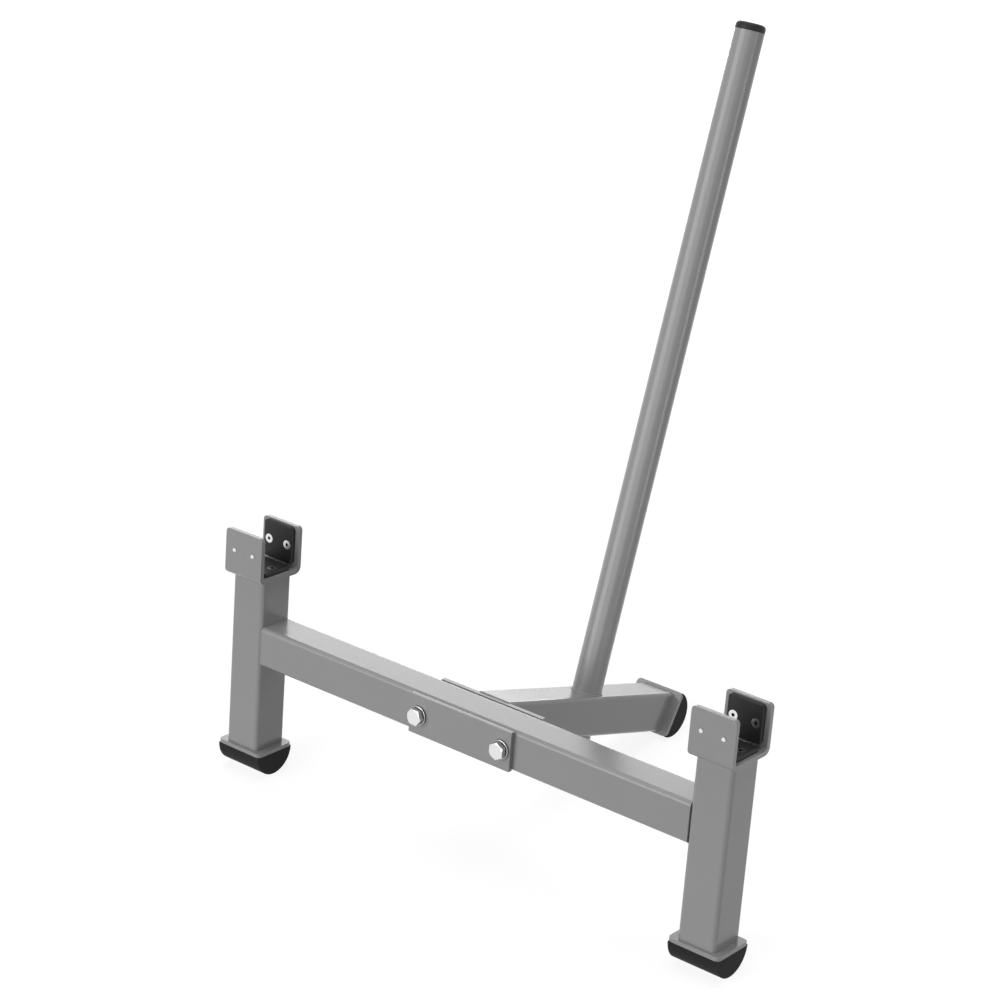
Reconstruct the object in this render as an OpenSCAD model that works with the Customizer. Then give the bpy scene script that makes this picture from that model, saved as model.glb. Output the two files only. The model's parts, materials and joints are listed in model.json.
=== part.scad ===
// Barbell jack: two uprights with lined cradles on a crossbar, a bolted rear leg and a lever.
// The frame is drawn upright about the front feet, then leaned back until all three feet stand.

/* [Square tube] */
// Outer width of the square tube used for uprights, crossbar and leg
tube_w = 50.8; // [45:0.2:55]
// Wall of the square tube
tube_wall = 3; // [2:0.5:4]
// Outer corner radius of the square tube
tube_corner_r = 5.5; // [4.5:0.5:8]

/* [Uprights and crossbar] */
// Distance between the centre lines of the two uprights
upright_spacing = 700; // [600:5:900]
// Length of an upright, from base plate to cradle
upright_l = 227; // [210:0.5:280]
// Height of the crossbar's centre line above the base plates
crossbar_up = 142.5; // [110:0.5:160]

/* [Cradles] */
// Width of a cradle along the bar
cradle_w = 60; // [56:1:80]
// Outer depth of a cradle, from front wall to back wall
cradle_d = 72; // [66:1:90]
// Outer height of a cradle
cradle_h = 61; // [50:1:90]
// Plate thickness of a cradle
cradle_t = 6; // [4:0.5:8]
// Inner radius of a cradle's two bends
cradle_bend_r = 3; // [2:0.5:5]
// Radius of the four upper corners of a cradle
cradle_corner_r = 5; // [3:0.5:8]

/* [Liners] */
// Width of a wall liner along the bar
wall_liner_w = 48; // [45:1:54]
// Width of a floor liner along the bar
floor_liner_w = 51; // [45:1:54]
// Thickness of a liner pad
liner_t = 5; // [4:0.5:7]
// How far a wall liner stays below the top of its wall
liner_below_top = 2; // [1:0.5:5]
// Room left between a floor liner's edge and the face line of each wall liner
floor_liner_room = 2; // [1:0.5:4]
// Corner radius of a liner pad
liner_corner_r = 5; // [2:0.5:8]
// Chamfer round the face of a liner pad
liner_chamfer = 1.2; // [0.5:0.1:2]

/* [Liner screws] */
// Thread diameter of a liner screw
screw_d = 6; // [5:0.5:6]
// Diameter of a countersunk head
sunk_head_d = 11.5; // [10:0.5:12]
// Height of the straight rim round a countersunk head
sunk_rim = 0.3; // [0.2:0.1:0.5]
// Width across flats of the hexagon socket
screw_socket = 4; // [3:0.5:4.5]
// Depth of the hexagon socket
socket_depth = 2.2; // [1:0.1:2.4]
// Distance between the two screws of a pad
screw_pitch = 30; // [24:1:32]
// How far a screw's tip stands out of the plate that it is screwed into
screw_tip = 1.2; // [0.4:0.2:3]

/* [Base plates and feet] */
// Width of a base plate along the bar
base_w = 70; // [62:1:90]
// Thickness of a base plate
base_t = 5; // [4:0.5:8]
// Corner radius of a base plate
base_corner_r = 6; // [3:0.5:10]
// Radius of the round underside of a foot, and height of a front foot
foot_r = 30; // [28:1:34]
// Height of the rear foot below its base plate
rear_foot_h = 27; // [22:0.5:28]
// How far a foot stays in from each end of its base plate
foot_inset = 1.3; // [0:0.1:3]
// Distance between the two screws of a foot
foot_screw_pitch = 30; // [24:1:32]
// Thickness of rubber held under a foot screw's head
foot_screw_grip = 12; // [8:1:14]
// Head diameter of a foot screw
round_head_d = 10.5; // [9:0.5:11]
// Head height of a foot screw
round_head_h = 3.3; // [2.5:0.1:3.5]
// Diameter of the counterbore for a foot screw's head
foot_bore_d = 13; // [12:0.5:16]

/* [Clamp] */
// Length of a clamp plate along the crossbar
clamp_l = 153; // [150:1:200]
// Thickness of a clamp plate
clamp_t = 6; // [4:0.5:10]
// How far a clamp plate stays in from the crossbar's upper and lower faces
clamp_margin = 0.4; // [0:0.1:3]
// Distance between the two clamp bolts
bolt_pitch = 125; // [100:1:125]
// Thread diameter of a clamp bolt
bolt_d = 12; // [8:1:12]
// Width across flats of the bolt head and nut
bolt_flats = 19; // [18:0.5:21]
// Height of a bolt head
bolt_head_h = 7.5; // [6:0.5:9]
// Height of a nut
nut_h = 10; // [8:0.5:12]
// Outer diameter of a washer
washer_d = 24; // [22:0.5:25]
// Thickness of a washer
washer_t = 2.5; // [1.5:0.5:3]
// Thread left over behind a nut
bolt_end = 4; // [2:0.5:10]
// Chamfer at the tip of a bolt
bolt_chamfer = 1; // [0.5:0.1:1.5]
// Angle at which the left bolt's head came to rest when tightened
left_bolt_turn = 25; // [0:1:60]
// Angle at which the right bolt's head came to rest when tightened
right_bolt_turn = 0; // [0:1:60]

/* [Leg] */
// Length of the leg along its centre line
leg_l = 343; // [300:1:420]
// Slope of the leg below the level of the crossbar
leg_slope = 15; // [10:0.5:20]
// Tilt of the leg's rear plate away from the uprights' direction
rear_plate_tilt = 30; // [20:1:35]

/* [Handle] */
// Distance of the handle from the rear clamp plate, along the leg
handle_distance = 185; // [120:1:220]
// Outer diameter of the handle tube
handle_d = 37; // [32:1:40]
// Wall of the handle tube
handle_wall = 2; // [1.5:0.5:3]
// Length of the handle tube above the leg's centre line
handle_rise = 852; // [600:1:1100]
// Length of handle tube that shows below the leg
handle_stub = 10; // [5:1:15]
// Height of the cap above the handle tube
cap_h = 9; // [6:0.5:14]
// Radius of the cap's rounded rim
cap_edge_r = 5; // [2:0.5:6]
// Length of the cap's shank inside the tube
cap_shank_l = 22; // [12:1:40]

/* [Clearances] */
// Radial clearance of a screw or bolt in a plain hole
hole_clear = 0.5; // [0.3:0.1:0.8]
// Radial clearance of a thread in its tapped hole, and of a sunk head in its sink
thread_clear = 0.1; // [0.05:0.05:0.2]
// Gap left between two pieces that only just meet
seat_gap = 0.3; // [0.2:0.1:0.5]
// Radial clearance of the handle in the leg's two holes
handle_clear = 0.2; // [0.1:0.1:0.4]
// Radial clearance of the cap's shank in the handle tube
cap_clear = 0.15; // [0.1:0.05:0.3]

/* [Hidden] */
$fn = 64;

cut = 1;
steel_grey = [0.57, 0.57, 0.57];
rubber_black = [0.05, 0.05, 0.05];
plastic_black = [0.07, 0.07, 0.07];
zinc = [0.85, 0.85, 0.84];

left = -1;
right = 1;
front_wall = -1;
rear_wall = 1;
half_tube = tube_w / 2;
tube_inner_w = tube_w - 2 * tube_wall;
tube_inner_r = tube_corner_r - tube_wall;
crossbar_l = upright_spacing - tube_w;
crossbar_z = base_t + crossbar_up;
upright_top = base_t + upright_l;

cradle_inner_d = cradle_d - 2 * cradle_t;
cradle_outer_r = cradle_bend_r + cradle_t;
floor_liner_d = cradle_inner_d - 2 * liner_t - 2 * floor_liner_room;
floor_liner_top = cradle_t + liner_t;
wall_liner_h = cradle_h - liner_below_top - floor_liner_top - seat_gap;
wall_liner_z = floor_liner_top + seat_gap + wall_liner_h / 2;
screw_l = liner_t + cradle_t + screw_tip;
sunk_cone = (sunk_head_d - screw_d) / 2;
screw_chamfer = 0.8;

base_d = 2 * foot_r;
foot_w = base_w - 2 * foot_inset;
foot_screw_l = foot_screw_grip + base_t + screw_tip;
bolt_l = 2 * washer_t + 2 * clamp_t + tube_w + nut_h + bolt_end;
clamp_back = half_tube + clamp_t;
hex_corner = 1 / cos(30);

// Rear plate: middle of its front face, and middle of the arc of its foot
leg_end_y = clamp_back + leg_l * cos(leg_slope);
leg_end_z = crossbar_z - leg_l * sin(leg_slope);
rear_arc_in = base_t - (foot_r - rear_foot_h);
rear_arc_y = leg_end_y + rear_arc_in * cos(rear_plate_tilt);
rear_arc_z = leg_end_z - rear_arc_in * sin(rear_plate_tilt);

// The jack leans back by this angle when front feet and rear foot share one floor
lean = atan2(rear_arc_z, rear_arc_y);

// Reach of the leaned jack to the front and to the back, from the front feet's arc
handle_lean = leg_slope + lean;
handle_foot_y = clamp_back + handle_distance * cos(leg_slope);
handle_foot_z = crossbar_z - handle_distance * sin(leg_slope);
cap_top = handle_rise + cap_h;
top_y = handle_foot_y * cos(lean) + handle_foot_z * sin(lean) + cap_top * sin(handle_lean);
cap_reach = (handle_d / 2 - cap_edge_r) * cos(handle_lean) - cap_edge_r * sin(handle_lean) + cap_edge_r;
back_reach = top_y + cap_reach;
middle_y = (back_reach - foot_r) / 2;

// Rectangle with true round corners
module rounded_rect(w, d, r) {
    square([w - 2 * r, d], center = true);
    square([w, d - 2 * r], center = true);
    for (sx = [-1, 1], sy = [-1, 1])
        translate([sx * (w / 2 - r), sy * (d / 2 - r)]) circle(r);
}

// Square tube along Z, from the origin up
module square_tube(l) {
    linear_extrude(l) difference() {
        rounded_rect(tube_w, tube_w, tube_corner_r);
        rounded_rect(tube_inner_w, tube_inner_w, tube_inner_r);
    }
}

// From the upright frame to the standing pose, centred over its own footprint
module standing() {
    translate([0, -middle_y, foot_r]) rotate([-lean, 0, 0]) children();
}

module at_upright(side) {
    translate([side * upright_spacing / 2, 0, 0]) children();
}

module at_cradle(side) {
    at_upright(side) translate([0, 0, upright_top]) children();
}

// Y runs along the leg, Z square to it, from the middle of the rear clamp plate
module at_leg() {
    translate([0, clamp_back, crossbar_z]) rotate([-leg_slope, 0, 0]) children();
}

// Z points from the foot into the leg, from the middle of the leg's rear end
module at_rear_plate() {
    translate([0, leg_end_y, leg_end_z]) rotate([90 - rear_plate_tilt, 0, 0])
        translate([0, 0, -base_t]) children();
}

module at_pair(pitch) {
    for (s = [-1, 1]) translate([s * pitch / 2, 0, 0]) children();
}

module upright(side) {
    color(steel_grey) standing() at_upright(side) translate([0, 0, base_t]) square_tube(upright_l);
}

module crossbar() {
    color(steel_grey) standing() translate([0, 0, crossbar_z]) difference() {
        rotate([0, 90, 0]) translate([0, 0, -crossbar_l / 2]) square_tube(crossbar_l);
        at_pair(bolt_pitch) rotate([90, 0, 0])
            cylinder(r = bolt_d / 2 + hole_clear, h = tube_w + 2 * cut, center = true);
    }
}

// Section of the bent plate, lying in the plane with its floor at zero
module cradle_section(d, h, r) {
    translate([-d / 2, r]) square([d, h - r]);
    translate([r - d / 2, 0]) square([d - 2 * r, h]);
    for (s = [-1, 1]) translate([s * (d / 2 - r), r]) circle(r);
}

// Face of a wall with its two upper corners rounded
module cradle_face() {
    low = cradle_h - cradle_corner_r;
    translate([-cradle_w / 2, -cut]) square([cradle_w, low + cut]);
    translate([cradle_corner_r - cradle_w / 2, 0]) square([cradle_w - 2 * cradle_corner_r, cradle_h]);
    for (s = [-1, 1]) translate([s * (cradle_w / 2 - cradle_corner_r), low]) circle(cradle_corner_r);
}

module cradle(side) {
    tapped_r = screw_d / 2 + thread_clear;
    color(steel_grey) standing() at_cradle(side) difference() {
        intersection() {
            rotate([90, 0, 90]) linear_extrude(cradle_w, center = true) difference() {
                cradle_section(cradle_d, cradle_h, cradle_outer_r);
                translate([0, cradle_t])
                    cradle_section(cradle_inner_d, cradle_h, cradle_bend_r);
            }
            rotate([90, 0, 0]) linear_extrude(cradle_d + 2 * cut, center = true) cradle_face();
        }
        at_pair(screw_pitch) {
            translate([0, 0, wall_liner_z]) rotate([90, 0, 0])
                cylinder(r = tapped_r, h = cradle_d + 2 * cut, center = true);
            translate([0, 0, -cut]) cylinder(r = tapped_r, h = cradle_t + 2 * cut);
        }
    }
}

// Section of a pad with chamfered face edges
module pad_section(w) {
    polygon([[-w / 2, 0], [w / 2, 0], [w / 2, liner_t - liner_chamfer],
        [w / 2 - liner_chamfer, liner_t], [liner_chamfer - w / 2, liner_t],
        [-w / 2, liner_t - liner_chamfer]]);
}

// Pad lying on its back, its face up, sunk for the heads of its screws
module pad(w, d) {
    sink_r = sunk_head_d / 2 + thread_clear;
    color(plastic_black) difference() {
        intersection() {
            linear_extrude(liner_t) rounded_rect(w, d, liner_corner_r);
            rotate([90, 0, 0]) linear_extrude(d, center = true) pad_section(w);
            rotate([90, 0, 90]) linear_extrude(w, center = true) pad_section(d);
        }
        at_pair(screw_pitch) {
            translate([0, 0, -cut]) cylinder(r = screw_d / 2 + hole_clear, h = liner_t + cut);
            translate([0, 0, liner_t - sunk_rim - sunk_cone])
                cylinder(r1 = screw_d / 2 + thread_clear, r2 = sink_r, h = sunk_cone);
            translate([0, 0, liner_t - sunk_rim]) cylinder(r = sink_r, h = sunk_rim + cut);
        }
    }
}

// Puts a child that faces up onto a wall's inner face, so that it faces the bar
module on_wall(side, wall) {
    at_cradle(side) translate([0, wall * cradle_inner_d / 2, wall_liner_z])
        rotate([wall * 90, 0, 0]) children();
}

module on_floor(side) {
    at_cradle(side) translate([0, 0, cradle_t]) children();
}

module wall_liner(side, wall) {
    standing() on_wall(side, wall) pad(wall_liner_w, wall_liner_h);
}

module floor_liner(side) {
    standing() on_floor(side) pad(floor_liner_w, floor_liner_d);
}

// Threaded shank that hangs down from the origin, its tip chamfered
module shank(d, l, chamfer) {
    translate([0, 0, chamfer - l]) cylinder(r = d / 2, h = l - chamfer);
    translate([0, 0, -l]) cylinder(r1 = d / 2 - chamfer, r2 = d / 2, h = chamfer);
}

// Hexagon socket sunk into a head whose top is at zero
module socket() {
    translate([0, 0, -socket_depth])
        cylinder(r = screw_socket / 2 * hex_corner, h = socket_depth + cut, $fn = 6);
}

// Countersunk screw that points down, the face of its head at the origin
module sunk_screw(l) {
    color(zinc) difference() {
        union() {
            translate([0, 0, -sunk_rim]) cylinder(r = sunk_head_d / 2, h = sunk_rim);
            translate([0, 0, -sunk_rim - sunk_cone])
                cylinder(r1 = screw_d / 2, r2 = sunk_head_d / 2, h = sunk_cone);
            shank(screw_d, l, screw_chamfer);
        }
        socket();
    }
}

module liner_screws(side) {
    standing() {
        for (wall = [front_wall, rear_wall])
            on_wall(side, wall) at_pair(screw_pitch) translate([0, 0, liner_t]) sunk_screw(screw_l);
        on_floor(side) at_pair(screw_pitch) translate([0, 0, liner_t]) sunk_screw(screw_l);
    }
}

// Base plate with its underside at zero
module base_plate() {
    color(steel_grey) difference() {
        linear_extrude(base_t) rounded_rect(base_w, base_d, base_corner_r);
        at_pair(foot_screw_pitch) translate([0, 0, -cut])
            cylinder(r = screw_d / 2 + thread_clear, h = base_t + 2 * cut);
    }
}

// Rubber foot that hangs from a base plate's underside, round about X
module foot(h) {
    color(rubber_black) difference() {
        rotate([90, 0, 90]) linear_extrude(foot_w, center = true) intersection() {
            translate([0, foot_r - h]) circle(foot_r, $fn = 128);
            translate([-foot_r, -h]) square([2 * foot_r, h]);
        }
        at_pair(foot_screw_pitch) {
            translate([0, 0, -h - cut]) cylinder(r = foot_bore_d / 2, h = h - foot_screw_grip + cut);
            translate([0, 0, -h]) cylinder(r = screw_d / 2 + hole_clear, h = h + cut);
        }
    }
}

// Round-head screw that points up, the underside of its head at the origin
module round_screw(l) {
    head_r = round_head_d / 2;
    dome_r = (head_r * head_r + round_head_h * round_head_h) / (2 * round_head_h);
    color(zinc) rotate([180, 0, 0]) {
        difference() {
            intersection() {
                cylinder(r = head_r, h = round_head_h);
                translate([0, 0, round_head_h - dome_r]) sphere(dome_r);
            }
            translate([0, 0, round_head_h]) socket();
        }
        shank(screw_d, l, screw_chamfer);
    }
}

module pair_of_foot_screws() {
    at_pair(foot_screw_pitch) translate([0, 0, -foot_screw_grip]) round_screw(foot_screw_l);
}

module foot_screws() {
    standing() {
        for (side = [left, right]) at_upright(side) pair_of_foot_screws();
        at_rear_plate() pair_of_foot_screws();
    }
}

module clamp_plate(wall) {
    color(steel_grey) standing()
        translate([0, wall * (half_tube + clamp_t / 2), crossbar_z]) difference() {
            cube([clamp_l, clamp_t, tube_w - 2 * clamp_margin], center = true);
            at_pair(bolt_pitch) rotate([90, 0, 0])
                cylinder(r = bolt_d / 2 + hole_clear, h = clamp_t + 2 * cut, center = true);
        }
}

// Y points back, from the clamp's middle
module at_clamp() {
    standing() translate([0, 0, crossbar_z]) children();
}

// Hexagon about Y with its outer end turned to a cone, from the origin to the front
module hex_block(h, turn, both) {
    corner_r = bolt_flats / 2 * hex_corner;
    face_r = 0.95 * bolt_flats / 2;
    cone_h = (corner_r - face_r) * tan(30);
    back_cone_h = both ? cone_h : 0;
    rotate([90, 0, 0]) rotate([0, 0, turn]) intersection() {
        rotate([0, 0, -30]) cylinder(r = corner_r, h = h, $fn = 6);
        union() {
            translate([0, 0, back_cone_h])
                cylinder(r = corner_r, h = h - cone_h - back_cone_h);
            translate([0, 0, h - cone_h]) cylinder(r1 = corner_r, r2 = face_r, h = cone_h);
            if (both) cylinder(r1 = face_r, r2 = corner_r, h = back_cone_h);
        }
    }
}

module clamp_bolt(turn) {
    seat = clamp_back + washer_t;
    translate([0, -seat, 0]) {
        hex_block(bolt_head_h, turn, false);
        rotate([90, 0, 0]) shank(bolt_d, bolt_l, bolt_chamfer);
    }
}

module clamp_bolts() {
    color(zinc) at_clamp() {
        translate([-bolt_pitch / 2, 0, 0]) clamp_bolt(left_bolt_turn);
        translate([bolt_pitch / 2, 0, 0]) clamp_bolt(right_bolt_turn);
    }
}

module clamp_washers() {
    color(zinc) at_clamp() at_pair(bolt_pitch)
        for (y = [-clamp_back - washer_t, clamp_back]) translate([0, y, 0])
            rotate([-90, 0, 0]) difference() {
                cylinder(r = washer_d / 2, h = washer_t);
                translate([0, 0, -cut]) cylinder(r = bolt_d / 2 + hole_clear, h = washer_t + 2 * cut);
            }
}

module clamp_nuts() {
    color(zinc) at_clamp() at_pair(bolt_pitch) translate([0, clamp_back + washer_t + nut_h, 0])
        difference() {
            hex_block(nut_h, 0, true);
            rotate([90, 0, 0]) translate([0, 0, -cut])
                cylinder(r = bolt_d / 2 + thread_clear, h = nut_h + 2 * cut);
        }
}

module rear_leg() {
    spare = tube_w;
    color(steel_grey) standing() difference() {
        at_leg() translate([0, -spare, 0]) rotate([-90, 0, 0]) square_tube(leg_l + 2 * spare);
        translate([-tube_w, clamp_back - 4 * spare, crossbar_z - 2 * tube_w])
            cube([2 * tube_w, 4 * spare, 4 * tube_w]);
        at_rear_plate() translate([-tube_w, -2 * tube_w, base_t - 4 * spare])
            cube([2 * tube_w, 4 * tube_w, 4 * spare]);
        at_leg() translate([0, handle_distance, 0])
            cylinder(r = handle_d / 2 + handle_clear, h = tube_w + 2 * cut, center = true);
    }
}

module at_handle() {
    standing() at_leg() translate([0, handle_distance, 0]) children();
}

module handle() {
    low = half_tube + handle_stub;
    color(steel_grey) at_handle() translate([0, 0, -low]) difference() {
        cylinder(r = handle_d / 2, h = handle_rise + low);
        translate([0, 0, -cut])
            cylinder(r = handle_d / 2 - handle_wall, h = handle_rise + low + 2 * cut);
    }
}

module handle_cap() {
    cap_r = handle_d / 2;
    shank_r = cap_r - handle_wall - cap_clear;
    shank_wall = 2;
    color(plastic_black) at_handle() translate([0, 0, handle_rise]) {
        rotate_extrude() {
            square([cap_r, cap_h - cap_edge_r]);
            square([cap_r - cap_edge_r, cap_h]);
            translate([cap_r - cap_edge_r, cap_h - cap_edge_r]) intersection() {
                circle(cap_edge_r);
                square(cap_edge_r);
            }
        }
        translate([0, 0, -cap_shank_l]) difference() {
            cylinder(r = shank_r, h = cap_shank_l);
            translate([0, 0, -cut]) cylinder(r = shank_r - shank_wall, h = cap_shank_l);
        }
    }
}

upright(left);  // left_upright
upright(right);  // right_upright
crossbar();
cradle(left);  // left_cradle
cradle(right);  // right_cradle
standing() at_upright(left) base_plate();  // left_base_plate
standing() at_upright(right) base_plate();  // right_base_plate
standing() at_rear_plate() base_plate();  // rear_base_plate
clamp_plate(front_wall);  // front_clamp_plate
clamp_plate(rear_wall);  // rear_clamp_plate
rear_leg();
handle();
handle_cap();
clamp_bolts();
clamp_washers();
clamp_nuts();
standing() at_upright(left) foot(foot_r);  // left_foot
standing() at_upright(right) foot(foot_r);  // right_foot
standing() at_rear_plate() foot(rear_foot_h);  // rear_foot
foot_screws();
wall_liner(left, front_wall);  // left_front_liner
wall_liner(left, rear_wall);  // left_rear_liner
floor_liner(left);  // left_floor_liner
wall_liner(right, front_wall);  // right_front_liner
wall_liner(right, rear_wall);  // right_rear_liner
floor_liner(right);  // right_floor_liner
liner_screws(left);  // left_liner_screws
liner_screws(right);  // right_liner_screws
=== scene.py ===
import math

import bmesh
import bpy
import numpy as np
from mathutils import Matrix, Quaternion, Vector
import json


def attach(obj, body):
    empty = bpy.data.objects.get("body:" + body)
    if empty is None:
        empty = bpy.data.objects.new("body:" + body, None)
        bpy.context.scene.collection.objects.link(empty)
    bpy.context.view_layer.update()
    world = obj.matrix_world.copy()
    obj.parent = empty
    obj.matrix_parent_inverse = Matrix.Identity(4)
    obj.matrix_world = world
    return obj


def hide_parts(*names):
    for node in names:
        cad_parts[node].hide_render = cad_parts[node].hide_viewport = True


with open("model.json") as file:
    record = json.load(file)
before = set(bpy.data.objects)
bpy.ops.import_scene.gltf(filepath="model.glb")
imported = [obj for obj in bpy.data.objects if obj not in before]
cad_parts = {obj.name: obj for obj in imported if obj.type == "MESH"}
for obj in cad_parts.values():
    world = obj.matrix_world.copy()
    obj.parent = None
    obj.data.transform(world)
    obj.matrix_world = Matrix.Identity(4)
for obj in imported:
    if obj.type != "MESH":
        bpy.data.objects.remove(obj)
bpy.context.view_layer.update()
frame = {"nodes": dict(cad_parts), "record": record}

# Camera: a long lens at the front right of the jack, looking down on it a little. It stands
# at the photograph's viewpoint, turned by its slight roll, and needs no shift.
image_width_px = 995
focal_length_px = 2818.3
sensor_width_mm = 36.0
camera_place = Vector((1.84542, -2.39261, 1.91726))
camera_forward = Vector((-0.573931, 0.680617, -0.455371)).normalized()
camera_right = Vector((0.773575, 0.633050, -0.028800)).normalized()
camera_up = camera_right.cross(camera_forward)
camera_lens = bpy.data.cameras.new("camera")
camera_lens.sensor_width = sensor_width_mm
camera_lens.lens = sensor_width_mm * focal_length_px / image_width_px
camera_lens.clip_start = 0.05
camera_lens.clip_end = 50.0
camera = bpy.data.objects.new("camera", camera_lens)
camera.matrix_world = Matrix.LocRotScale(
    camera_place, Matrix((camera_right, camera_up, -camera_forward)).transposed(), None)
bpy.context.scene.collection.objects.link(camera)
bpy.context.scene.camera = camera
bpy.context.scene.view_settings.view_transform = "Standard"

# Studio: a pale floor that runs out of sight under a white room, with a broad lamp overhead,
# two in front, two behind and a low one beside the handle. Floor and room show white to the
# camera and in gloss. Near the jack the floor keeps its shadow, and far off it glows white.
floor_half = 12.0
floor_grey = (0.26, 0.26, 0.26, 1.0)
glow_near, glow_far = 0.86, 1.0
near_reach, far_reach = 1.2, 4.0
room_strength = 0.05
white = (1.0, 1.0, 1.0, 1.0)
jack_middle = (0.0, 0.0, 0.30)


def flat_material(name):
    """A new material with its node tree and its Principled shader."""
    material = bpy.data.materials.new(name)
    material.use_nodes = True
    tree = material.node_tree
    return material, tree, tree.nodes["Principled BSDF"]


def arithmetic(tree, operation, first, second, clamp=False):
    """A math node's result, held between 0 and 1 if clamped. Each of the two is a number or
    another node's output."""
    node = tree.nodes.new("ShaderNodeMath")
    node.operation = operation
    node.use_clamp = clamp
    for socket, value in zip(node.inputs, (first, second)):
        if isinstance(value, float):
            socket.default_value = value
        else:
            tree.links.new(value, socket)
    return node.outputs[0]


def mapped(tree, value, source, target, interpolation="LINEAR"):
    """A value carried from the source range to the target range, and held inside it."""
    node = tree.nodes.new("ShaderNodeMapRange")
    node.interpolation_type = interpolation
    for socket, level in zip(("From Min", "From Max", "To Min", "To Max"), source + target):
        node.inputs[socket].default_value = level
    tree.links.new(value, node.inputs["Value"])
    return node.outputs["Result"]


def seen_straight(tree, to_camera, to_gloss):
    """One level for rays from the camera, another for those that a gloss or a glass sends out,
    and nothing for diffuse light."""
    path = tree.nodes.new("ShaderNodeLightPath")
    gloss_or_glass = arithmetic(
        tree, "MAXIMUM", path.outputs["Is Glossy Ray"], path.outputs["Is Transmission Ray"])
    camera_level = arithmetic(tree, "MULTIPLY", path.outputs["Is Camera Ray"], to_camera)
    gloss_level = arithmetic(tree, "MULTIPLY", gloss_or_glass, to_gloss)
    return arithmetic(tree, "MAXIMUM", camera_level, gloss_level)


def area_lamp(name, place, aim, width, height, power, tilt=0.0):
    """A rectangular lamp of that width and height at a place, turned to shine on the aimed point
    and then tilted about its own axis by some degrees."""
    light = bpy.data.lights.new(name, "AREA")
    light.shape = "RECTANGLE"
    light.size = width
    light.size_y = height
    light.energy = power
    lamp = bpy.data.objects.new(name, light)
    lamp.location = place
    upright = (Vector(aim) - Vector(place)).to_track_quat("-Z", "Y")
    lamp.rotation_euler = (upright @ Quaternion((0.0, 0.0, 1.0), math.radians(tilt))).to_euler()
    bpy.context.scene.collection.objects.link(lamp)


floor_corners = [(x * floor_half, y * floor_half, 0.0) for x, y in ((-1, -1), (1, -1), (1, 1), (-1, 1))]
floor_mesh = bpy.data.meshes.new("studio_floor")
floor_mesh.from_pydata(floor_corners, [], [(0, 1, 2, 3)])
floor = bpy.data.objects.new("studio_floor", floor_mesh)
bpy.context.scene.collection.objects.link(floor)
floor_paint, floor_tree, floor_shader = flat_material("studio_floor")
floor_shader.inputs["Base Color"].default_value = floor_grey
floor_shader.inputs["Roughness"].default_value = 0.9
floor_shader.inputs["Specular IOR Level"].default_value = 0.0
floor_shader.inputs["Emission Color"].default_value = white
floor_coordinates = floor_tree.nodes.new("ShaderNodeTexCoord")
floor_distance = floor_tree.nodes.new("ShaderNodeVectorMath")
floor_distance.operation = "LENGTH"
floor_tree.links.new(floor_coordinates.outputs["Object"], floor_distance.inputs[0])
floor_glow = mapped(
    floor_tree, floor_distance.outputs["Value"], (near_reach, far_reach), (glow_near, glow_far),
    interpolation="SMOOTHSTEP")
floor_tree.links.new(seen_straight(floor_tree, floor_glow, 1.0), floor_shader.inputs["Emission Strength"])
floor_mesh.materials.append(floor_paint)

room = bpy.data.worlds.new("white_room")
bpy.context.scene.world = room
room.use_nodes = True
room_nodes, room_links = room.node_tree.nodes, room.node_tree.links
room_light = room_nodes["Background"]
room_light.inputs["Color"].default_value = white
room_light.inputs["Strength"].default_value = room_strength
room_seen = room_nodes.new("ShaderNodeBackground")
room_seen.inputs["Color"].default_value = white
room_seen.inputs["Strength"].default_value = 1.0
room_mix = room_nodes.new("ShaderNodeMixShader")
room_links.new(seen_straight(room.node_tree, 1.0, 1.0), room_mix.inputs[0])
room_links.new(room_light.outputs[0], room_mix.inputs[1])
room_links.new(room_seen.outputs[0], room_mix.inputs[2])
room_links.new(room_mix.outputs[0], room_nodes["World Output"].inputs["Surface"])

area_lamp("lamp_overhead", (-0.3, 0.8, 6.0), jack_middle, 5.0, 5.0, 165.0)
area_lamp("lamp_fill", (2.8, -7.4, 2.4), jack_middle, 5.0, 4.0, 110.0)
area_lamp("lamp_band", (-3.0, -8.0, 3.6), jack_middle, 6.0, 7.0, 430.0)
area_lamp("lamp_low", (1.5, 0.28, 0.40), (0.0, 0.28, 0.40), 0.42, 1.0, 3.7, tilt=-24.0)
area_lamp("lamp_behind", (-3.0, 3.6, 1.20), jack_middle, 2.2, 1.8, 24.5)
area_lamp("lamp_horizon", (-2.1, 2.75, 0.27), (0.0, 0.2, 0.27), 2.0, 0.5, 15.5)

# Painted steel: the welded frame is square tube, round tube and cut plate under one coat of
# satin grey powder. Its edges are eased by hand before painting, and wear a little lighter.
plate_edge = 0.0006
number, colour = "NodeSocketFloat", "NodeSocketColor"


def noise_node(tree, scale, detail, place):
    """Noise on the object's own coordinates, in cycles to the metre."""
    coordinates = tree.nodes.new("ShaderNodeTexCoord")
    noise = tree.nodes.new("ShaderNodeTexNoise")
    noise.inputs["Scale"].default_value = scale
    noise.inputs["Detail"].default_value = detail
    shift = tree.nodes.new("ShaderNodeMapping")
    shift.inputs["Location"].default_value = place
    tree.links.new(coordinates.outputs["Object"], shift.inputs["Vector"])
    tree.links.new(shift.outputs["Vector"], noise.inputs["Vector"])
    return noise.outputs["Fac"]


def blended(tree, under, over, mask):
    """The colour of another node's output, covered by one fixed colour as far as a mask says."""
    blend = tree.nodes.new("ShaderNodeMix")
    blend.data_type = "RGBA"
    blend.inputs["B"].default_value = over
    tree.links.new(under, blend.inputs["A"])
    tree.links.new(mask, blend.inputs["Factor"])
    return blend.outputs["Result"]


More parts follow.
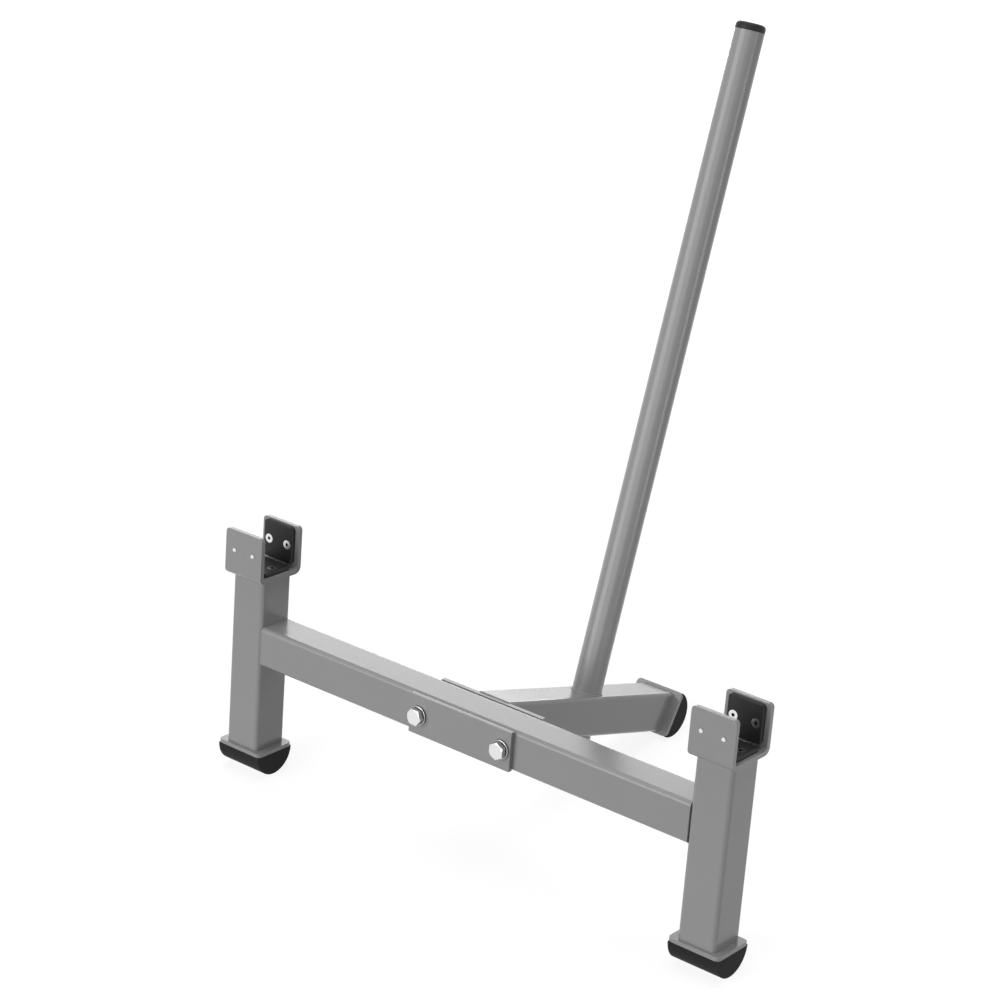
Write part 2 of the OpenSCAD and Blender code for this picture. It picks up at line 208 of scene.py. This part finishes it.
def effect_group(name, inputs, outputs):
    """An empty shader group with named number or colour sockets; returns it and its two ends."""
    group = bpy.data.node_groups.new(name, "ShaderNodeTree")
    for socket, kind in inputs.items():
        group.interface.new_socket(socket, in_out="INPUT", socket_type=kind)
    for socket, kind in outputs.items():
        group.interface.new_socket(socket, in_out="OUTPUT", socket_type=kind)
    return group, group.nodes.new("NodeGroupInput"), group.nodes.new("NodeGroupOutput")


def placed_group(tree, group, **values):
    """The group's node in a material, with that material's own values on its sockets."""
    node = tree.nodes.new("ShaderNodeGroup")
    node.node_tree = group
    for socket, value in values.items():
        node.inputs[socket].default_value = value
    return node


# Mottle: one colour drifts a little lighter and darker over a hand's width, and at fine grain.
# Its mask, the sum of two noises, stays mostly within the mottle range.
mottle_range = (0.6, 1.4)
mottle, mottle_in, mottle_out = effect_group(
    "mottle", {"Colour": colour, "Amount": number}, {"Colour": colour, "Mask": number})
mottle_sum = arithmetic(mottle, "ADD", noise_node(mottle, 14.0, 3.0, (0.3, 0.1, 0.2)),
                        noise_node(mottle, 420.0, 2.0, (0.0, 0.5, 0.7)))
mottle_drift = arithmetic(mottle, "MULTIPLY", arithmetic(mottle, "SUBTRACT", mottle_sum, 1.0),
                          mottle_in.outputs["Amount"])
mottle_tint = mottle.nodes.new("ShaderNodeVectorMath")
mottle_tint.operation = "SCALE"
mottle.links.new(mottle_in.outputs["Colour"], mottle_tint.inputs[0])
mottle.links.new(arithmetic(mottle, "ADD", mottle_drift, 1.0), mottle_tint.inputs["Scale"])
mottle.links.new(mottle_tint.outputs["Vector"], mottle_out.inputs["Colour"])
mottle.links.new(mottle_sum, mottle_out.inputs["Mask"])

# Edge wear and painted highlight: where a small ball would roll over an edge, the mask rises from 0 to 1.
# Materials lighten their edges by it, partly as wear and partly as a painted highlight.
wear_and_highlight, wear_and_highlight_in, wear_and_highlight_out = effect_group("edge_wear_and_painted_highlight", {"Reach": number, "Gain": number}, {"Mask": number})
wear_and_highlight_round = wear_and_highlight.nodes.new("ShaderNodeBevel")
wear_and_highlight_round.samples = 6
wear_and_highlight.links.new(wear_and_highlight_in.outputs["Reach"], wear_and_highlight_round.inputs["Radius"])
wear_and_highlight_true = wear_and_highlight.nodes.new("ShaderNodeNewGeometry")
wear_and_highlight_dot = wear_and_highlight.nodes.new("ShaderNodeVectorMath")
wear_and_highlight_dot.operation = "DOT_PRODUCT"
wear_and_highlight.links.new(wear_and_highlight_round.outputs["Normal"], wear_and_highlight_dot.inputs[0])
wear_and_highlight.links.new(wear_and_highlight_true.outputs["Normal"], wear_and_highlight_dot.inputs[1])
wear_and_highlight_turn = arithmetic(wear_and_highlight, "SUBTRACT", 1.0, wear_and_highlight_dot.outputs["Value"])
wear_and_highlight_rise = arithmetic(wear_and_highlight, "MULTIPLY", wear_and_highlight_turn, wear_and_highlight_in.outputs["Gain"], clamp=True)
wear_and_highlight_patchy = arithmetic(wear_and_highlight, "MULTIPLY", wear_and_highlight_rise, noise_node(wear_and_highlight, 90.0, 4.0, (0.2, 0.4, 0.1)))
wear_and_highlight.links.new(wear_and_highlight_patchy, wear_and_highlight_out.inputs["Mask"])

# Fine grain: a height that ripples at one pitch, for orange peel, moulded and cast skins.
grain, grain_in, grain_out = effect_group("fine_grain", {"Pitch": number}, {"Height": number})
grain_coordinates = grain.nodes.new("ShaderNodeTexCoord")
grain_noise = grain.nodes.new("ShaderNodeTexNoise")
grain_noise.inputs["Detail"].default_value = 2.0
grain.links.new(grain_coordinates.outputs["Object"], grain_noise.inputs["Vector"])
grain.links.new(grain_in.outputs["Pitch"], grain_noise.inputs["Scale"])
grain.links.new(grain_noise.outputs["Fac"], grain_out.inputs["Height"])


def finish_material(name, base, edge, rough, rough_spread, mottling, pitch, depth, edge_gain, edge_reach,
                    metallic=0.0, specular=0.5):
    """Mottled base colour, lighter on edges as wear and as painted highlight; roughness follows the mottle;
    grain as bump.
    """
    material, tree, shader = flat_material(name)
    tint = placed_group(tree, mottle, Colour=base, Amount=mottling)
    edge_wear_and_highlight = placed_group(tree, wear_and_highlight, Reach=edge_reach, Gain=edge_gain)
    skin = placed_group(tree, grain, Pitch=pitch)
    # Edges lighten towards the edge colour: wear, and on some materials a painted highlight.
    edged = blended(tree, tint.outputs["Colour"], edge, edge_wear_and_highlight.outputs["Mask"])
    tree.links.new(edged, shader.inputs["Base Color"])
    rough_range = (rough - rough_spread, rough + rough_spread)
    uneven = mapped(tree, tint.outputs["Mask"], mottle_range, rough_range)
    tree.links.new(uneven, shader.inputs["Roughness"])
    shader.inputs["Metallic"].default_value = metallic
    shader.inputs["Specular IOR Level"].default_value = specular
    bump = tree.nodes.new("ShaderNodeBump")
    bump.inputs["Strength"].default_value = 1.0
    bump.inputs["Distance"].default_value = depth
    tree.links.new(skin.outputs["Height"], bump.inputs["Height"])
    tree.links.new(bump.outputs["Normal"], shader.inputs["Normal"])
    return material


def paint(node, material):
    """Gives a CAD node its material and returns the node."""
    solid = frame["nodes"][node]
    for slot in solid.material_slots:
        slot.material = material
    return solid


def ease_edges(solid, edge_width):
    """Eases a CAD node's sharp edges and keeps its flat faces flat."""
    merge = solid.modifiers.new("merge", "WELD")
    merge.merge_threshold = 1e-5
    flatten = solid.modifiers.new("flatten", "DECIMATE")
    flatten.decimate_type = "DISSOLVE"
    flatten.angle_limit = math.radians(0.5)
    ease = solid.modifiers.new("ease", "BEVEL")
    ease.width = edge_width
    ease.segments = 2
    ease.limit_method = "ANGLE"
    ease.angle_limit = math.radians(28)
    even = solid.modifiers.new("even", "WEIGHTED_NORMAL")
    even.weight = 100


powder_coat = finish_material(
    "powder_coat", base=(0.325, 0.325, 0.325, 1.0), edge=(0.42, 0.42, 0.42, 1.0), rough=0.23,
    rough_spread=0.04, mottling=0.06, pitch=900.0, depth=0.00004, edge_gain=0.8, edge_reach=0.0012)
for painted in ("left_upright", "right_upright", "crossbar", "rear_leg", "handle", "left_cradle",
                "right_cradle", "left_base_plate", "right_base_plate", "rear_base_plate",
                "front_clamp_plate", "rear_clamp_plate"):
    ease_edges(paint(painted, powder_coat), plate_edge)

# Bolts, washers and nuts of the clamp: M12, zinc-plated steel, forged hexagons with turned
# ends. Each bolt runs through both clamp plates and the crossbar, and its nut is at the back.
# Their sizes, in metres, are those of the solids that they replace.
bolt_r, bolt_pitch, bolt_reach, bolt_chamfer = 0.006, 0.125, 0.0818, 0.001
hexagon_flats, face_share, head_height, nut_height = 0.019, 0.95, 0.0075, 0.010
right_turn, left_turn = 0.0, 25.0
collar_r, collar_height = 0.0088, 0.0004
thread_pitch, thread_depth, thread_reach = 0.00175, 0.00107, 0.018
nut_clearance, nut_flare = 0.0001, 0.0006
washer_r, washer_bore_r, washer_thickness, washer_round = 0.012, 0.0065, 0.0025, 0.0005
clamp_half, crossbar_up = 0.0314, 0.1475
seat_floor_up = 0.243
around = np.linspace(0.0, 2.0 * np.pi, 96, endpoint=False)

seat = [mount for mount in frame["record"]["mounts"] if mount["name"] == "left_bar_seat"][0]
lean_sin, lean_cos = seat["axis"][1], seat["axis"][2]
heel_y = seat["pos_m"][1] - seat_floor_up * lean_sin
heel_z = seat["pos_m"][2] - seat_floor_up * lean_cos

cone_r = face_share * hexagon_flats / 2
cone_slope = math.tan(math.radians(30))
bearing = -clamp_half - washer_thickness
tip = bearing + bolt_reach


def leaned(x, y, z):
    """Points given square to the uprights, turned about X by their lean and set on the floor:
    y' = heel + y cos + z sin and z' = heel - y sin + z cos."""
    x, y, z = np.broadcast_arrays(x, y, z)
    return np.stack((x, heel_y + y * lean_cos + z * lean_sin, heel_z - y * lean_sin + z * lean_cos), axis=-1)


def ring_surface(rings, loop, offset):
    """Faces of a stack of rings, each joined to the next by quads. A loop joins the last ring
    to the first; otherwise a point at each end closes it. Numbers start at the offset."""
    count, steps = rings.shape[0], rings.shape[1]
    ring = np.arange(count if loop else count - 1)[:, None]
    step = np.arange(steps)[None, :]
    after = (step + 1) % steps
    here, there = ring * steps + offset, (ring + 1) % count * steps + offset
    quads = np.stack((here + step, here + after, there + after, there + step), axis=-1)
    points = rings.reshape(-1, 3)
    faces = quads.reshape(-1, 4).tolist()
    if not loop:
        points = np.vstack((points, rings[0].mean(axis=0), rings[-1].mean(axis=0)))
        step, after = step[0] + offset, after[0] + offset
        last_ring, end = (count - 1) * steps, np.full(steps, offset + count * steps)
        faces += np.stack((step, end, after), axis=-1).tolist()
        faces += np.stack((last_ring + step, last_ring + after, end + 1), axis=-1).tolist()
    return points, faces


def ringed_piece(name, stacks, loop, node):
    """One mesh of several ring stacks, facing outwards and smooth up to 30 degrees. It takes
    the place of the CAD node, if one is named."""
    points, faces, total = [], [], 0
    for rings in stacks:
        new_points, new_faces = ring_surface(rings, loop, total)
        points.append(new_points)
        faces += new_faces
        total += len(new_points)
    mesh = bpy.data.meshes.new(name)
    mesh.from_pydata(np.vstack(points).tolist(), [], faces)
    shell = bmesh.new()
    shell.from_mesh(mesh)
    bmesh.ops.recalc_face_normals(shell, faces=shell.faces)
    shell.to_mesh(mesh)
    shell.free()
    mesh.shade_smooth()
    mesh.set_sharp_from_angle(angle=math.radians(30))
    piece = bpy.data.objects.new(name, mesh)
    bpy.context.scene.collection.objects.link(piece)
    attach(piece, "root")
    if node:
        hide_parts(node)
    return piece


def about_bolt(side, stations):
    """Rings about a bolt's axis from rows of (distance behind the clamp's middle, radius)."""
    rings = [leaned(side * bolt_pitch / 2 + r * np.cos(around), back, crossbar_up + r * np.sin(around))
             for back, r in stations]
    return np.stack(rings)


def hexagon(turn_degrees):
    """Radius of a hexagon against the angle: half the flats over the cosine of the angle
    from the middle of the nearest flat."""
    from_flat = np.mod(around - math.radians(turn_degrees) + np.pi / 6, np.pi / 3) - np.pi / 6
    return hexagon_flats / 2 / np.cos(from_flat)


def thread(from_tip):
    """Thread radius at a distance from the bolt's tip: the crest is flat for an eighth of the
    pitch, the root for a quarter, and the tip is turned down by its chamfer."""
    from_crest = np.abs(np.mod(from_tip / thread_pitch + around / (2 * np.pi) + 0.5, 1.0) - 0.5)
    cut = thread_depth * np.clip((from_crest - 1 / 16) / (5 / 16), 0.0, 1.0)
    return np.minimum(bolt_r - cut, bolt_r - bolt_chamfer + from_tip)


def bolt_rings(side, turn_degrees):
    """A bolt from the middle of its head to its tip: a face, a cone down to the hexagon, a
    collar under it, the plain shank, and a thread that is cut in eight rings to the pitch."""
    flats = hexagon(turn_degrees)
    face = bearing - head_height
    thread_ring = thread_pitch / 8
    head = [(face, 0.5 * cone_r), (face, cone_r), (face + (flats - cone_r) * cone_slope, flats),
            (bearing - collar_height, flats), (bearing - collar_height, collar_r), (bearing, collar_r)]
    shank = [(bearing, bolt_r), (tip - thread_reach - thread_ring, bolt_r)]
    threads = [(tip - from_tip, thread(from_tip))
               for from_tip in np.arange(thread_reach, 0.0, -thread_ring)]
    return about_bolt(side, head + shank + threads)


def nut_rings(side):
    """A nut round its section: a cone at both ends, flats between them, a bore that flares."""
    near, far = clamp_half + washer_thickness, clamp_half + washer_thickness + nut_height
    flats = hexagon(0.0)
    cone = (flats - cone_r) * cone_slope
    bore_r = bolt_r + nut_clearance
    return about_bolt(side, [
        (near, bore_r + nut_flare), (near, cone_r), (near + cone, flats),
        (far - cone, flats), (far, cone_r), (far, bore_r + nut_flare),
        (far - nut_flare, bore_r), (near + nut_flare, bore_r)])


def washer_rings(side, near):
    """A washer round its section: its rim is rounded by a bevel of two steps."""
    far = near + washer_thickness
    shoulder = 0.3 * washer_round
    return about_bolt(side, [
        (near, washer_bore_r), (near, washer_r - washer_round),
        (near + shoulder, washer_r - shoulder), (near + washer_round, washer_r),
        (far - washer_round, washer_r), (far - shoulder, washer_r - shoulder),
        (far, washer_r - washer_round), (far, washer_bore_r)])


turned_bolts = ringed_piece(
    "turned_bolts", [bolt_rings(-1, left_turn), bolt_rings(1, right_turn)],
    False, "clamp_bolts")
forged_nuts = ringed_piece(
    "forged_nuts", [nut_rings(-1), nut_rings(1)],
    True, "clamp_nuts")
stamped_washers = ringed_piece(
    "stamped_washers", [washer_rings(side, near) for side in (-1, 1) for near in (bearing, clamp_half)],
    True, "clamp_washers")

# Zinc plate: bright passivated zinc over steel, with a fine drawn grain, on every fastener.
# Sockets, roots of threads and corners against other parts are painted darker, as shade, where occlusion is
# found within the reach.
# Painted shade: the mask rises where other surfaces lie close by.
painted_recess_shade, recess_in, recess_out = effect_group("painted_recess_shade", {"Reach": number, "Gain": number}, {"Mask": number})
recess_light = painted_recess_shade.nodes.new("ShaderNodeAmbientOcclusion")
recess_light.samples = 8
painted_recess_shade.links.new(recess_in.outputs["Reach"], recess_light.inputs["Distance"])
recess_shade = arithmetic(painted_recess_shade, "SUBTRACT", 1.0, recess_light.outputs["AO"])
recess_mask = arithmetic(painted_recess_shade, "MULTIPLY", recess_shade, recess_in.outputs["Gain"], clamp=True)
painted_recess_shade.links.new(recess_mask, recess_out.inputs["Mask"])

# The lighter edge colour is a painted highlight along the fasteners' edges.
zinc_plate = finish_material(
    "zinc_plate", base=(0.66, 0.66, 0.65, 1.0), edge=(0.80, 0.80, 0.79, 1.0), rough=0.22,
    rough_spread=0.05, mottling=0.05, pitch=1600.0, depth=0.00001, edge_gain=0.6, edge_reach=0.0005,
    metallic=1.0)
zinc_tree = zinc_plate.node_tree
# The colour of the painted shade in sockets, thread roots and corners.
zinc_shade_colour = (0.05, 0.05, 0.05, 1.0)
zinc_colour = zinc_tree.nodes["Principled BSDF"].inputs["Base Color"]
zinc_bright = zinc_colour.links[0].from_socket
zinc_depth = placed_group(zinc_tree, painted_recess_shade, Reach=0.007, Gain=2.4)
zinc_shaded = blended(zinc_tree, zinc_bright, zinc_shade_colour, zinc_depth.outputs["Mask"])
zinc_tree.links.new(zinc_shaded, zinc_colour)
for plated in ("foot_screws", "left_liner_screws", "right_liner_screws"):
    paint(plated, zinc_plate)
for turned in (turned_bolts, forged_nuts, stamped_washers):
    turned.data.materials.append(zinc_plate)

# Weld: one small bead of steel round the handle's foot, laid in short overlapping ripples and
# painted over with the frame. The other joints of the frame show no bead.
leg_slope, leg_half, handle_along, handle_r = math.radians(15), 0.0254, 0.185, 0.0185
bead_width, bead_ripples = 0.0016, 56
bead_ripple_depth, bead_outward = 0.14, 0.25
bead_turns, bead_arounds = np.meshgrid(np.linspace(0.0, 2.0 * np.pi, 336, endpoint=False),
                                       np.linspace(0.0, 2.0 * np.pi, 14, endpoint=False), indexing="ij")


def weld_rings(turn, across):
    """A ring of round section about the handle, its radius rippled by the absolute sine of half
    the ripple count times the turn, and sunk by a third into the corner of tube and leg."""
    ripple = np.abs(np.sin(bead_ripples * turn / 2))
    size = bead_width * (1.0 - bead_ripple_depth + bead_ripple_depth * ripple)
    out = handle_r + size * (bead_outward + (1.0 - bead_outward) * np.cos(across))
    up = leg_half + size * (bead_outward + (1.0 - bead_outward) * np.sin(across))
    along = handle_along - out * np.cos(turn)
    y = clamp_half + along * math.cos(leg_slope) + up * math.sin(leg_slope)
    z = crossbar_up - along * math.sin(leg_slope) + up * math.cos(leg_slope)
    return leaned(out * np.sin(turn), y, z)


handle_bead = ringed_piece("handle_bead", [weld_rings(bead_turns, bead_arounds)], True, None)
handle_bead.data.materials.append(powder_coat)

# Liners: pads cut from black wear-resistant plastic sheet. Two countersunk screws hold each
# one to the inside of its cradle.
# The lighter edge colour is a painted highlight along the pads' edges.
liner_plastic = finish_material(
    "liner_plastic", base=(0.018, 0.018, 0.019, 1.0), edge=(0.11, 0.11, 0.11, 1.0), rough=0.50,
    rough_spread=0.05, mottling=0.12, pitch=1200.0, depth=0.00003, edge_gain=2.0, edge_reach=0.0008,
    specular=0.30)
for side in ("left", "right"):
    for pad in ("front_liner", "rear_liner", "floor_liner"):
        paint(side + "_" + pad, liner_plastic)

# Feet: solid half-round blocks of moulded black rubber. Two screws from below hold each one
# under its base plate.
rubber_edge = 0.0006
foot_rubber = finish_material(
    "foot_rubber", base=(0.012, 0.012, 0.012, 1.0), edge=(0.06, 0.06, 0.06, 1.0), rough=0.85,
    rough_spread=0.05, mottling=0.12, pitch=700.0, depth=0.00005, edge_gain=0.6, edge_reach=0.0012,
    specular=0.28)
for foot in ("left_foot", "right_foot", "rear_foot"):
    ease_edges(paint(foot, foot_rubber), rubber_edge)

# Cap: a moulded black plastic plug with a rounded head. It is pushed into the handle's top
# end and held by its own grip.
cap_plastic = finish_material(
    "cap_plastic", base=(0.012, 0.012, 0.012, 1.0), edge=(0.05, 0.05, 0.05, 1.0), rough=0.45,
    rough_spread=0.04, mottling=0.10, pitch=1500.0, depth=0.00002, edge_gain=0.5, edge_reach=0.0008,
    specular=0.25)
paint("handle_cap", cap_plastic)
